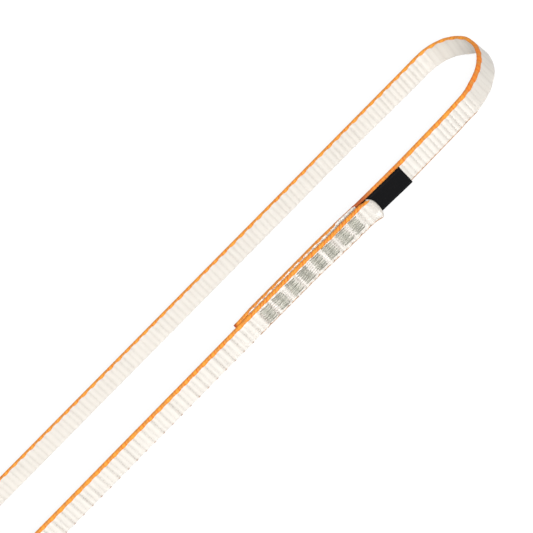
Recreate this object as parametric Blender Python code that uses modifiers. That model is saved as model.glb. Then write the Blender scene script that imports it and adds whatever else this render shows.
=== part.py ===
"""Sewn climbing sling: one narrow woven tape, closed into a loop by an overlapped splice.

The loop lies open and the tape stands on its lower selvedge.  +X points to the bend that
lies next to the splice, +Y to the rear run, and Z = 0 is the surface that it rests on.
The tape starts as the inner layer of the splice, goes once round the loop and comes back
as the outer layer, whose end is folded under.  Eight bar tacks hold the layers together.
Each has a needle thread on the outside and a bobbin thread on the inside, which meet in
the needle holes.  A folded label is trapped between the layers.
"""

import math

import bmesh
import bpy
from mathutils import Matrix, Vector

# The loop, in metres
SLING_LENGTH = 0.600  # half the way round, which is the length a sling is sold by
LOOP_SPREAD = 0.0499  # between the middles of the rear run and of the front run
BEND_EASE_SHARE = 0.08  # how much softer a bend is at its ends than an even curve
BEND_STEPS = 30
RUN_STEPS = 8

# The tape
TAPE_WIDTH = 0.011
TAPE_THICKNESS = 0.0017
SELVEDGE_ROUND = 0.0005
SELVEDGE_STEPS = 2
LAYER_GAP = 0.0003  # kept between pieces that lie on each other

# The splice
SPLICE_SETBACK = 0.0875  # from the outside of the near bend to the folded end
SPLICE_OVERLAP = 0.084
TUCK_BEYOND = 0.0008  # how far the folded-under end reaches past the first tack
FOLD_STEPS = 10
RISE_PITCHES = 3.5  # the outer layer climbs over this many tack pitches
RISE_STEPS = 14

# The bar tacks
TACK_COUNT = 8
TACK_SETBACK = 0.0095  # from the folded end to the first tack
TACK_PITCH = 0.0079
TACK_LENGTH = 0.0055
TACK_WIDTH = 0.0066
TACK_STRANDS = 7
THREAD_DIAMETER = 0.0004
THREAD_TURN = 0.0002  # the cut corner where a strand dives into its hole
LEG_SPACING = 0.0006  # between the two legs of one stitch
HOLE_CLEARANCE = 0.0002
HOLE_SIDES = 6
CUT_OVERRUN = 0.002

# The label
LABEL_WIDTH = 0.0102
LABEL_THICKNESS = 0.0006  # two plies, pressed flat
LABEL_TACKS = 2  # how many tacks hold the label's root
LABEL_FLAP_LENGTH = 0.0172
HINGE_SETOFF = 0.0026  # from the folded end to the line that the label bends on
HINGE_GAP = 0.0007
LABEL_END_STEPS = 6

# Finishes: colour, roughness
FINISHES = {
    "woven_white": ("F4EFEA", 0.75),
    "selvedge_orange": ("F08C32", 0.65),
    "thread_grey": ("B9B9AC", 0.6),
    "label_black": ("17171A", 0.8),
}


def linear_colour(hex_code):
    """The linear colour of an sRGB hex code."""
    channels = [int(hex_code[i : i + 2], 16) / 255 for i in (0, 2, 4)]
    return [c / 12.92 if c <= 0.04045 else ((c + 0.055) / 1.055) ** 2.4 for c in channels]


def make_material(name):
    """A Principled material with the colour and roughness of a named finish."""
    hex_code, roughness = FINISHES[name]
    material = bpy.data.materials.new(name)
    material.use_nodes = True
    shader = material.node_tree.nodes["Principled BSDF"]
    shader.inputs["Base Color"].default_value = (*linear_colour(hex_code), 1)
    shader.inputs["Roughness"].default_value = roughness
    shader.inputs["Metallic"].default_value = 0
    material.diffuse_color = (*linear_colour(hex_code), 1)
    return material


def unit_bend():
    """Points of a half turn to the left, from (0, 0) heading +X to (0, 1) heading -X.

    The curve is softest where it leaves the straight runs and tightest at its tip, as a
    springy tape bends.  Returns the points and the length along them.
    """
    step = 1 / BEND_STEPS
    points = [Vector((0, 0))]
    for i in range(BEND_STEPS):
        along = (i + 0.5) * step
        ease = BEND_EASE_SHARE * math.sin(2 * math.pi * along) / (2 * math.pi)
        heading = math.pi * (along - ease)
        points.append(points[-1] + step * Vector((math.cos(heading), math.sin(heading))))
    width = points[-1].y
    return [p / width for p in points], 1 / width


def smooth_rise(share):
    """0 to 1 with level ends, for a share of the way from 0 to 1."""
    share = min(max(share, 0), 1)
    return share * share * (3 - 2 * share)


# How the layers are stacked in the splice, all measured across the tape
ply_pitch = TAPE_THICKNESS + LAYER_GAP
label_pitch = LABEL_THICKNESS + LAYER_GAP
end_rise = ply_pitch + label_pitch
half_width = TAPE_WIDTH / 2
half_ply = TAPE_THICKNESS / 2
thread_radius = THREAD_DIAMETER / 2
strand_offset = half_ply + LAYER_GAP + thread_radius

# Where the runs lie: the outer needle threads and the rear run bound the part
front_reach = ply_pitch + end_rise + strand_offset + thread_radius
inner_to_rear = LOOP_SPREAD - ply_pitch
rear_y = (inner_to_rear + front_reach - half_ply) / 2
inner_y = rear_y - inner_to_rear
outer_y = rear_y - LOOP_SPREAD

# Where the bends start, from the length of tape once round
bend_shape, bend_length = unit_bend()
bend_reach = max(p.x for p in bend_shape)
near_reach = bend_reach * inner_to_rear
far_reach = bend_reach * LOOP_SPREAD
bend_tape = bend_length * (inner_to_rear + LOOP_SPREAD)
run_length = SLING_LENGTH - bend_tape / 2
near_x = (run_length + far_reach - near_reach) / 2
far_x = near_x - run_length

# Along the splice
fold_x = near_x + near_reach + half_ply - SPLICE_SETBACK
inner_end_x = fold_x - SPLICE_OVERLAP
fold_radius = ply_pitch / 2
fold_start_x = fold_x - fold_radius - half_ply
tack_half = TACK_LENGTH / 2
tack_gap = TACK_PITCH - TACK_LENGTH
first_tack_x = fold_x - TACK_SETBACK - tack_half
tuck_end_x = first_tack_x - tack_half - TUCK_BEYOND
rise_end_x = tuck_end_x - LAYER_GAP
rise_start_x = rise_end_x - RISE_PITCHES * TACK_PITCH
hinge_x = fold_x + HINGE_SETOFF
root_end_x = fold_x - TACK_SETBACK - LABEL_TACKS * TACK_PITCH + tack_gap / 2
label_y = inner_y - half_ply - LAYER_GAP - LABEL_THICKNESS / 2


def outer_layer_y(x):
    """Middle of the outer layer, which climbs over the label and the folded end."""
    share = (x - rise_start_x) / (rise_end_x - rise_start_x)
    return outer_y - end_rise * smooth_rise(share)


def tape_route():
    """Middle line of the tape, seen from above, from its inner end to the tucked end."""

    def run(start, end, y):
        return [Vector((start + (end - start) * i / RUN_STEPS, y)) for i in range(RUN_STEPS)]

    near_bend = [Vector((near_x, inner_y)) + p * inner_to_rear for p in bend_shape[:-1]]
    far_bend = [Vector((far_x, rear_y)) - p * LOOP_SPREAD for p in bend_shape[:-1]]
    rise_length = rise_end_x - rise_start_x
    climb_xs = [rise_start_x + rise_length * i / RISE_STEPS for i in range(RISE_STEPS + 1)]
    climb = [Vector((x, outer_layer_y(x))) for x in climb_xs]
    fold_centre = Vector((fold_start_x, outer_y - end_rise + fold_radius))
    fold = []
    for i in range(FOLD_STEPS + 1):
        turn = math.pi * (i / FOLD_STEPS - 0.5)
        fold.append(fold_centre + fold_radius * Vector((math.cos(turn), math.sin(turn))))
    return (
        run(inner_end_x, near_x, inner_y)
        + near_bend
        + run(near_x, far_x, rear_y)
        + far_bend
        + run(far_x, rise_start_x, outer_y)
        + climb
        + fold
        + [Vector((tuck_end_x, outer_y - end_rise + ply_pitch))]
    )


def tack_middle_x(tack):
    """Middle of a bar tack, counted from the folded end."""
    return first_tack_x - tack * TACK_PITCH


def needle_points():
    """Where the needle goes through, from a tack's middle: (x, z), side to side."""
    step = TACK_WIDTH / TACK_STRANDS
    return [
        ((tack_half if k % 2 else -tack_half), k * step - TACK_WIDTH / 2)
        for k in range(TACK_STRANDS + 1)
    ]


def lock_y(x):
    """Half way between the outer and inner faces of the whole stack."""
    return (outer_layer_y(x) + inner_y) / 2


def thread_route(tack, outside):
    """Middle line of one thread of a tack, from the tack's middle on the inner layer.

    The thread crosses the tack, dives into a needle hole, turns at the lock half way
    through the layers, comes back up beside itself and crosses to the other side.
    """
    middle_x = tack_middle_x(tack)
    away = -1 if outside else 1
    holes = needle_points()
    points = []
    for k, (hole_x, hole_z) in enumerate(holes):
        x = middle_x + hole_x
        inward = -math.copysign(THREAD_TURN, hole_x)
        face_y = (outer_layer_y(x) if outside else inner_y) + away * strand_offset
        deep_y = lock_y(x) + away * (LAYER_GAP / 2 + thread_radius)
        high, low = face_y - away * THREAD_TURN, deep_y + away * THREAD_TURN
        down_z, up_z = hole_z - LEG_SPACING / 2, hole_z + LEG_SPACING / 2
        if k == 0:
            points += [(x, deep_y, hole_z), (x, high, hole_z), (x + inward, face_y, hole_z)]
        elif k == len(holes) - 1:
            points += [(x + inward, face_y, hole_z), (x, high, hole_z), (x, deep_y, hole_z)]
        else:
            points += [
                (x + inward, face_y, down_z),
                (x, high, down_z),
                (x, low, down_z),
                (x, deep_y, down_z + THREAD_TURN),
                (x, deep_y, up_z - THREAD_TURN),
                (x, low, up_z),
                (x, high, up_z),
                (x + inward, face_y, up_z),
            ]
    return [Vector((x - middle_x, y - inner_y, z)) for x, y, z in points]


def clear_scene():
    """Removes what a new file starts with."""
    for obj in list(bpy.data.objects):
        bpy.data.objects.remove(obj)


def new_collection(name):
    """A collection under the scene's own."""
    collection = bpy.data.collections.new(name)
    bpy.context.scene.collection.children.link(collection)
    return collection


def add_curve(name, points, collection, flat=False):
    """A curve object with one open straight-sided spline through the points."""
    curve = bpy.data.curves.new(name, "CURVE")
    curve.dimensions = "2D" if flat else "3D"
    spline = curve.splines.new("POLY")
    spline.points.add(len(points) - 1)
    for point, place in zip(spline.points, points):
        point.co = (*place.to_3d(), 1)
    obj = bpy.data.objects.new(name, curve)
    collection.objects.link(obj)
    return obj


def curve_to_mesh(obj, collection):
    """Replaces a curve object by a mesh object of the same shape, name and place."""
    bpy.context.view_layer.update()
    evaluated = obj.evaluated_get(bpy.context.evaluated_depsgraph_get())
    mesh = bpy.data.meshes.new_from_object(evaluated)
    name, place = obj.name, obj.matrix_world.copy()
    bpy.data.objects.remove(obj)
    joined = bmesh.new()
    joined.from_mesh(mesh)
    bmesh.ops.remove_doubles(joined, verts=joined.verts, dist=LAYER_GAP / 100)
    joined.to_mesh(mesh)
    joined.free()
    solid = bpy.data.objects.new(name, mesh)
    solid.matrix_world = place
    collection.objects.link(solid)
    return solid


def cut(obj, cutter):
    """Takes the cutter's shape out of a mesh object."""
    boolean = obj.modifiers.new("needle_holes", "BOOLEAN")
    boolean.operation = "DIFFERENCE"
    boolean.solver = "EXACT"
    boolean.object = cutter


def add_needle_holes(collection):
    """One cutter that holds every needle hole, through all layers of the splice."""
    unit = math.sqrt(0.5)
    short = thread_radius + HOLE_CLEARANCE
    long = short + LEG_SPACING / 2
    outermost = outer_y - end_rise - half_ply - CUT_OVERRUN
    innermost = inner_y + half_ply + CUT_OVERRUN
    depth = innermost - outermost
    shape = bmesh.new()
    holes = needle_points()
    for tack in range(TACK_COUNT):
        for k, (hole_x, hole_z) in enumerate(holes):
            height = short if k in (0, len(holes) - 1) else long
            middle = (tack_middle_x(tack) + hole_x, (outermost + innermost) / 2, half_width + hole_z)
            size = Matrix.Diagonal((short / unit, depth, height / unit, 1))
            upright = Matrix.Rotation(math.pi / 2, 4, "X")
            bmesh.ops.create_cone(
                shape,
                cap_ends=True,
                segments=HOLE_SIDES,
                radius1=unit,
                radius2=unit,
                depth=1,
                matrix=Matrix.Translation(middle) @ size @ upright,
            )
    mesh = bpy.data.meshes.new("needle_holes")
    shape.to_mesh(mesh)
    shape.free()
    cutter = bpy.data.objects.new("needle_holes", mesh)
    cutter.hide_render = True
    cutter.display_type = "WIRE"
    collection.objects.link(cutter)
    return cutter


def add_webbing(collection, materials, needle_holes):
    """The tape: a strip along its route, thickened, with round selvedges."""
    strip = add_curve("webbing", tape_route(), collection, flat=True)
    strip.location.z = half_width
    strip.data.extrude = half_width
    webbing = curve_to_mesh(strip, collection)
    webbing.data.materials.append(materials["woven_white"])
    webbing.data.materials.append(materials["selvedge_orange"])
    wall = webbing.modifiers.new("thickness", "SOLIDIFY")
    wall.thickness = TAPE_THICKNESS
    wall.offset = 0
    wall.use_even_offset = True
    wall.material_offset_rim = 1
    edge = webbing.modifiers.new("selvedge", "BEVEL")
    edge.width = SELVEDGE_ROUND
    edge.segments = SELVEDGE_STEPS
    edge.limit_method = "ANGLE"
    edge.angle_limit = math.radians(60)
    edge.use_clamp_overlap = False
    edge.material = 1
    cut(webbing, needle_holes)
    return webbing


def add_thread(name, tack, outside, collection, material):
    """One thread of a bar tack, as a thin tube along its route."""
    thread = add_curve(name, thread_route(tack, outside), collection)
    thread.location = (tack_middle_x(tack), inner_y, half_width)
    thread.data.bevel_depth = thread_radius
    thread.data.bevel_resolution = 0
    thread.data.use_fill_caps = True
    thread.data.materials.append(material)
    return thread


def add_label(name, outline, place, collection, material):
    """A part of the label: its outline seen from above, drawn up over its width."""
    label = add_curve(name, outline, collection, flat=True)
    label.data.splines[0].use_cyclic_u = True
    label.data.fill_mode = "BOTH"
    label.data.extrude = LABEL_WIDTH / 2
    label.location = place
    solid = curve_to_mesh(label, collection)
    solid.data.materials.append(material)
    return solid


def root_outline():
    """The sewn part of the label, square at both ends, from the bending line."""
    back, front = root_end_x - hinge_x, -HINGE_GAP / 2
    side = LABEL_THICKNESS / 2
    return [Vector(p) for p in ((back, -side), (front, -side), (front, side), (back, side))]


def flap_outline():
    """The free part of the label, with the round fold at its end."""
    side = LABEL_THICKNESS / 2
    start, round_middle = HINGE_GAP / 2, LABEL_FLAP_LENGTH - side
    points = [Vector((start, side)), Vector((start, -side))]
    for i in range(LABEL_END_STEPS + 1):
        turn = math.pi * (i / LABEL_END_STEPS - 0.5)
        points.append(Vector((round_middle + side * math.cos(turn), side * math.sin(turn))))
    return points


def main():
    """Builds the sling."""
    clear_scene()
    sling = new_collection("climbing_sling")
    cutters = new_collection("cutters")
    materials = {name: make_material(name) for name in FINISHES}
    needle_holes = add_needle_holes(cutters)
    add_webbing(sling, materials, needle_holes)
    for tack in range(TACK_COUNT):
        number = tack + 1
        thread = materials["thread_grey"]
        add_thread(f"needle_thread_{number}", tack, True, sling, thread)
        add_thread(f"bobbin_thread_{number}", tack, False, sling, thread)
    bending_line = Vector((hinge_x, label_y, half_width))
    black = materials["label_black"]
    root = add_label("label_root", root_outline(), bending_line, sling, black)
    cut(root, needle_holes)
    add_label("label_flap", flap_outline(), bending_line, sling, black)


main()
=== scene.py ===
"""A sewn climbing sling that lies open on its lower selvedge, on a white studio floor.

One narrow tape of white polyethylene yarn with orange selvedges goes once round the loop and
laps over its own start.  Eight bar tacks close the lap, and a folded black label is trapped in
it.  Every size here is in millimetres and becomes metres when a mesh is made.  "Along" is the
length of tape from its inner end, "out" is the way from the tape's middle to the outside of
the loop, and "height" is across the tape, from the floor up.
"""

from __future__ import annotations

import logging
import math
from dataclasses import dataclass, field
from enum import Enum
from typing import Any, Iterable

import bpy
import numpy as np
from mathutils import Matrix, Vector


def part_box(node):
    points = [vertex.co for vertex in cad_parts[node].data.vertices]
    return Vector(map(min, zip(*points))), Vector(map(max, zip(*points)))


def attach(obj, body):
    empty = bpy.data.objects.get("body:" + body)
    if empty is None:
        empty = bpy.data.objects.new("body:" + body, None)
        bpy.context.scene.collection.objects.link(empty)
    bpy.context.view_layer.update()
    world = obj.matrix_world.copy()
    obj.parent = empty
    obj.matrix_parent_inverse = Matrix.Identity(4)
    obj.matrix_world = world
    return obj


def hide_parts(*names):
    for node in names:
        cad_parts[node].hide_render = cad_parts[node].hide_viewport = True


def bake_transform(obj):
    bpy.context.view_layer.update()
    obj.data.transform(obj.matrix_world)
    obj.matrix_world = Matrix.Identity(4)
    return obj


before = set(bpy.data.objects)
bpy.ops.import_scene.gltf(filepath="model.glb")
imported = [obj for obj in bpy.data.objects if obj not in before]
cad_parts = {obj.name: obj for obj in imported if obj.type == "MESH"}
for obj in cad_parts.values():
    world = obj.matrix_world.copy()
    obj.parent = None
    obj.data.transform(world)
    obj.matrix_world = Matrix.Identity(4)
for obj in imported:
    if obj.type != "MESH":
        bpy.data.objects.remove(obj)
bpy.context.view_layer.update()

MM = 0.001
TAPE_WIDTH = 11.0
HALF_TAPE = 0.85  # half the thickness of the tape
SAME_POINT = 1e-7  # in metres; nearer points than this become one
SHARP = math.radians(60)  # edges sharper than this aren't smoothed
ASKEW = (0.3, 0.5, 0.8)  # a way that no thread runs in, from which a tube's first ring is turned

Array = np.ndarray
Pair = tuple[float, float]
Row = tuple[float, ...]
Ring = tuple[Array, Array, dict[str, Array]]  # outwards, height, and what the material reads
Piece = bpy.types.Object
Material = bpy.types.Material
Tree = bpy.types.NodeTree
Node = bpy.types.Node
Socket = bpy.types.NodeSocket
log = logging.getLogger("sling")


class Side(Enum):
    """The two faces of the loop; the value is the way out from the tape's middle."""

    OUTSIDE = 1
    INSIDE = -1


class Edge(Enum):
    """The two edges of the tape."""

    UPPER = "upper"
    LOWER = "lower"


def linear(hex_code: str) -> tuple[float, float, float, float]:
    """The linear colour, with alpha, of an sRGB hex code.

    Args:
        hex_code: six hex digits.

    Returns:
        Red, green, blue and alpha.
    """
    channels = [int(hex_code[i : i + 2], 16) / 255 for i in (0, 2, 4)]
    red, green, blue = (c / 12.92 if c <= 0.04045 else ((c + 0.055) / 1.055) ** 2.4 for c in channels)
    return red, green, blue, 1.0


def add_node(tree: Tree, kind: str, feeds: dict[Any, Any] | None = None, **settings: Any) -> Node:
    """Adds a shader node with its settings, values and links.

    Args:
        tree: the material's or world's nodes.
        kind: the node's type, without its ShaderNode prefix.
        feeds: what goes into each input, by name or number: a socket to link, or a value.
        settings: the node's own properties.

    Returns:
        The new node.
    """
    node = tree.nodes.new("ShaderNode" + kind)
    for name, value in settings.items():
        setattr(node, name, value)
    for key, value in (feeds or {}).items():
        if isinstance(value, Socket):
            tree.links.new(value, node.inputs[key])
        else:
            node.inputs[key].default_value = value
    return node


def smooth(share: Array | float) -> Array:
    """0 to 1 with level ends, for a share of the way from 0 to 1."""
    held = np.clip(share, 0.0, 1.0)
    return held * held * (3 - 2 * held)


def bump(distance: Array | float, width: float) -> Array:
    """1 where the distance is 0, falling off round about the width."""
    return np.exp(-((np.asarray(distance) / width) ** 2))


def ramp(along: Array | float, start: float, over: float) -> Array:
    """0 before the start and 1 past it, changing smoothly over a length."""
    return smooth((along - start) / over)


@dataclass(frozen=True)
class Stretch:
    """A stretch of the tape: where something comes in and goes out, and over what lengths."""

    start: float
    rise: float
    end: float
    fall: float

    def on(self, along: Array) -> Array:
        """1 on the stretch and 0 off it."""
        return ramp(along, self.start, self.rise) * (1 - ramp(along, self.end, self.fall))


def run_length(points: Array) -> Array:
    """How far along a path each of its points lies."""
    return np.r_[0.0, np.cumsum(np.linalg.norm(np.diff(points, axis=0), axis=1))]


def box_mm(node: str) -> tuple[Vector, Vector]:
    """A CAD node's lowest and highest corners, in millimetres."""
    low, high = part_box(node)
    return Vector(low) / MM, Vector(high) / MM


# Finishes


def new_material(name: str, map_name: str) -> tuple[Material, Tree, Socket]:
    """Starts a material that follows a piece's own map in millimetres.

    Args:
        name: the material's name.
        map_name: the piece's map.

    Returns:
        The material, its nodes and the socket of the map.
    """
    made = bpy.data.materials.new(name)
    made.use_nodes = True
    place = add_node(made.node_tree, "UVMap", uv_map=map_name)
    return made, made.node_tree, place.outputs["UV"]


def yarn_pattern(tree: Tree, place: Socket, size_mm: Pair, detail: float, turn: float = 0.0) -> Socket:
    """Uneven streaks of a real size, such as filaments, plies or picks.

    Args:
        tree: the material's nodes.
        place: the socket of the piece's map in millimetres.
        size_mm: a streak's length along the piece and round it.
        detail: how many finer streaks lie within each.
        turn: how far they lie turned on the piece, in degrees.

    Returns:
        The socket of the pattern, from 0 to 1.
    """
    scale = (1 / size_mm[0], 1 / size_mm[1], 1.0)
    feeds = {"Vector": place, "Rotation": (0.0, 0.0, math.radians(turn)), "Scale": scale}
    laid = add_node(tree, "Mapping", feeds)
    streaks = add_node(tree, "TexNoise", {"Vector": laid.outputs[0], "Scale": 1.0, "Detail": detail})
    return streaks.outputs["Fac"]


def lay_tones(tree: Tree, ground: str, layers: Iterable[tuple[Socket, str]]) -> Socket:
    """Lays tones one over another.

    Args:
        tree: the material's nodes.
        ground: the lowest tone.
        layers: each further tone, after the socket that says how much of it shows.

    Returns:
        The socket of the colour that results.
    """
    tone = linear(ground)
    for share, over in layers:
        feeds = {"Factor": share, "A": tone, "B": linear(over)}
        tone = add_node(tree, "Mix", feeds, data_type="RGBA").outputs[2]
    return tone


def dress_surface(
    tree: Tree, colour: Socket, height: Socket, relief: Pair, pattern: Socket, roughness: Pair
) -> Node:
    """Gives a shader its colour, its fine relief and a roughness that goes with a pattern.

    Args:
        tree: the material's nodes.
        colour: the socket of the colour.
        height: the socket of the relief.
        relief: its strength, and its height in millimetres.
        pattern: the socket that the roughness goes with.
        roughness: the roughness where that is 0 and where it is 1.

    Returns:
        The shader.
    """
    shader = tree.nodes["Principled BSDF"]
    strength, high = relief
    fine = add_node(tree, "Bump", {"Height": height, "Strength": strength, "Distance": high * MM})
    rough = add_node(tree, "MapRange", {"Value": pattern, "To Min": roughness[0], "To Max": roughness[1]})
    tree.links.new(colour, shader.inputs["Base Color"])
    tree.links.new(fine.outputs["Normal"], shader.inputs["Normal"])
    tree.links.new(rough.outputs[0], shader.inputs["Roughness"])
    return shader


def seen_directly(tree: Tree) -> Socket:
    """Tells what the eye sees from what lights the sling.

    Args:
        tree: the material's or world's nodes.

    Returns:
        A socket: 1 for the camera, in a reflection and through glass, and 0 for other light.
    """
    path = add_node(tree, "LightPath")
    seen = path.outputs["Is Camera Ray"]
    for ray in ("Is Glossy Ray", "Is Transmission Ray"):
        seen = add_node(tree, "Math", {0: seen, 1: path.outputs[ray]}, operation="MAXIMUM").outputs[0]
    return seen


@dataclass(frozen=True)
class PolyethyleneWeave:
    """Woven high-modulus polyethylene yarn, undyed: waxy, almost white and slightly glossy.

    The fibre takes no dye, so the only dark places are the grooves, where the weft pulls the
    warp down and little light gets in; that shade is painted into the colour, as is the shade of
    the bends, the folded end, the stitch hollows and the needle holes.  The warp's filaments all
    run along the tape, so its gloss is stretched across them and fades where the tape turns away
    from the lamp.
    """

    white: str = "E2DDD4"
    # groove is the colour of the painted shade in the grooves, bends, folded end, stitch hollows and needle
    # holes
    groove: str = "9C9085"
    shade: str = "DAD4CB"
    roughness: Pair = (0.32, 0.52)
    specular: float = 1.0
    ior: float = 1.7  # plain polyethylene has 1.5; the drawn fibre looks glossier than that
    gloss_stretch: float = 0.85
    gloss_turn: float = 0.25  # a quarter of a turn, which lays the gloss across the filaments
    filament_mm: Pair = (9.0, 0.22)  # real ones are far finer; this still shows
    weft_mm: Pair = (0.48, 5.0)
    patch_mm: Pair = (25 / 3, 5.0)  # how the yarn's tone wanders
    streak_level: Pair = (0.55, 0.75)
    streak_share: float = 0.5
    weft_share: float = 0.6
    relief: Pair = (0.5, 0.06)

    def material(self) -> Material:
        """The weave, read from the tape's own map (along, round) in millimetres.

        Returns:
            The material.
        """
        made, tree, place = new_material("undyed_polyethylene_weave", "tape")
        # The groove attribute carries the painted shade of the grooves, bends and folded end, and pinch that
        # of the stitch hollows and needle holes.
        painted_shade = add_node(tree, "Attribute", attribute_name="groove")
        pinch = add_node(tree, "Attribute", attribute_name="pinch")
        filaments = yarn_pattern(tree, place, self.filament_mm, 2.0)
        weft = yarn_pattern(tree, place, self.weft_mm, 1.0)
        patches = yarn_pattern(tree, place, self.patch_mm, 2.0)
        low, high = self.streak_level
        feeds = {"Value": filaments, "From Min": low, "From Max": high, "To Max": self.streak_share}
        streaks = add_node(tree, "MapRange", feeds)
        # Where a stitch pulls on the tape, its yarns gather; painted shade darkens the hollows between them
        # and the needle holes, on top of the painted shade of the grooves.
        feeds = {0: painted_shade.outputs["Fac"], 1: pinch.outputs["Fac"]}
        shade_in_hollows = add_node(tree, "Math", feeds, operation="ADD", use_clamp=True)
        layers = ((patches, self.shade), (streaks.outputs[0], self.shade), (shade_in_hollows.outputs[0], self.groove))
        colour = lay_tones(tree, self.white, layers)
        picks = add_node(tree, "Math", {0: weft, 1: self.weft_share}, operation="MULTIPLY")
        height = add_node(tree, "Math", {0: filaments, 1: picks.outputs[0]}, operation="ADD")
        shader = dress_surface(tree, colour, height.outputs[0], self.relief, filaments, self.roughness)
        lie = add_node(tree, "Tangent", direction_type="UV_MAP", uv_map="tape")
        tree.links.new(lie.outputs["Tangent"], shader.inputs["Tangent"])
        shader.inputs["Specular IOR Level"].default_value = self.specular
        shader.inputs["IOR"].default_value = self.ior
        shader.inputs["Anisotropic"].default_value = self.gloss_stretch
        shader.inputs["Anisotropic Rotation"].default_value = self.gloss_turn
        return made


@dataclass(frozen=True)
class SelvedgeYarn:
    """Dyed polyamide yarn in the selvedges: bright, satin and loosely twisted.

    It is thick between two weft turns and drawn dark in the necks, where a turn ties it down: painted shade
    in those creases.
    """

    name: str = "dyed_polyamide_selvedge_yarn"
    bright: str = "FAB042"
    body: str = "F79930"
    # turn marks the twist, and in the near bend it is painted shade
    turn: str = "E87222"
    # neck is painted shade: in the necks, and where the lap covers, sinks and hides the yarn
    neck: str = "DC8C42"
    # the heat-sealed ends, and painted shade where the yarn is sunk and where it comes out behind the lap's
    # end
    seal_and_shade: str = "A83E1C"
    roughness: Pair = (0.47, 0.67)
    specular: float = 0.25
    twist_mm: Pair = (0.7, 3.0)
    twist_turn: float = 35.0
    relief: Pair = (0.6, 0.1)

    def material(self) -> Material:
        """The yarn, read from the selvedge's own map in millimetres.

        Returns:
            The material.
        """
        made, tree, place = new_material(self.name, "tape")
        ply = yarn_pattern(tree, place, self.twist_mm, 2.0, self.twist_turn)
        layers = [(ply, self.body)]
        for shade, over in (("turn", self.turn), ("neck", self.neck), ("seal_and_shade", self.seal_and_shade)):
            read = add_node(tree, "Attribute", attribute_name=shade)
            layers.append((read.outputs["Fac"], over))
        colour = lay_tones(tree, self.bright, layers)
        shader = dress_surface(tree, colour, ply, self.relief, ply, self.roughness)
        shader.inputs["Specular IOR Level"].default_value = self.specular
        return made


# The lower edge's yarn is the same orange yarn, drawn in brown tones: painted shade on the edge that faces
# the floor.
LOWER_YARN_IN_SHADE = SelvedgeYarn("lower_selvedge_yarn_in_shade", "CC9A6C", "BC8A5E", "98683E", "AC845E", "8A3A1E", (0.52, 0.72))


@dataclass(frozen=True)
class SewingThread:
    """Bonded polyester sewing thread: grey-beige, satin, with its plies laid side by side."""

    light: str = "C6C5B8"
    dark: str = "6E6C60"
    contrast: float = 1.35
    roughness: Pair = (0.47, 0.65)
    sheen: float = 0.1
    ply_mm: Pair = (0.5, 1 / 3)
    ply_turn: float = 40.0
    relief: Pair = (0.5, 0.05)

    def material(self) -> Material:
        """The thread, with a tone of its own for each strand.

        Returns:
            The material.
        """
        made, tree, place = new_material("bonded_polyester_thread", "thread")
        strand = add_node(tree, "Attribute", attribute_name="strand")
        ply = yarn_pattern(tree, place, self.ply_mm, 1.0, self.ply_turn)
        both = add_node(tree, "Math", {0: strand.outputs["Fac"], 1: ply}, operation="MULTIPLY")
        feeds = {0: both.outputs[0], 1: self.contrast}
        shadow = add_node(tree, "Math", feeds, operation="MULTIPLY", use_clamp=True)
        colour = lay_tones(tree, self.light, [(shadow.outputs[0], self.dark)])
        shader = dress_surface(tree, colour, ply, self.relief, ply, self.roughness)
        shader.inputs["Sheen Weight"].default_value = self.sheen
        return made


@dataclass(frozen=True)
class WovenLabelCloth:
    """Damask-woven polyester label cloth: fine, black and almost matt, with satin lines."""

    ground: str = "08080A"
    lift: str = "0F0F11"
    satin: str = "1C1C1F"
    roughness: Pair = (0.62, 0.4)
    specular: float = 0.08
    warp_mm: float = 0.2
    weft_mm: float = 0.26
    border_mm: float = 0.9  # from the edge to the middle of the woven line
    line_mm: float = 0.22
    relief: Pair = (0.35, 0.03)

    def material(self, wide: float) -> Material:
        """The cloth, with a satin line woven along each border.

        Args:
            wide: width of the strip.

        Returns:
            The material, which reads the label's own map in millimetres.
        """
        made, tree, place = new_material("damask_polyester_label", "label")
        parts = add_node(tree, "SeparateXYZ", {"Vector": place})
        waves = []
        for axis, pitch in (("X", self.weft_mm), ("Y", self.warp_mm)):
            feeds = {0: parts.outputs[axis], 1: 2 * math.pi / pitch}
            turn = add_node(tree, "Math", feeds, operation="MULTIPLY")
            waves.append(add_node(tree, "Math", {0: turn.outputs[0]}, operation="SINE").outputs[0])
        checks = add_node(tree, "Math", {0: waves[0], 1: waves[1]}, operation="MULTIPLY")
        level = add_node(tree, "MapRange", {"Value": checks.outputs[0], "From Min": -1.0, "From Max": 1.0})
        # Both lines are equally far from the middle of the strip.
        across = add_node(tree, "Math", {0: parts.outputs["Y"], 1: wide / 2}, operation="SUBTRACT")
        off = add_node(tree, "Math", {0: across.outputs[0]}, operation="ABSOLUTE")
        feeds = {0: off.outputs[0], 1: wide / 2 - self.border_mm, 2: self.line_mm / 2}
        line = add_node(tree, "Math", feeds, operation="COMPARE").outputs[0]
        colour = lay_tones(tree, self.ground, [(level.outputs[0], self.lift), (line, self.satin)])
        shader = dress_surface(tree, colour, checks.outputs[0], self.relief, line, self.roughness)
        shader.inputs["Specular IOR Level"].default_value = self.specular
        return made


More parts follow.
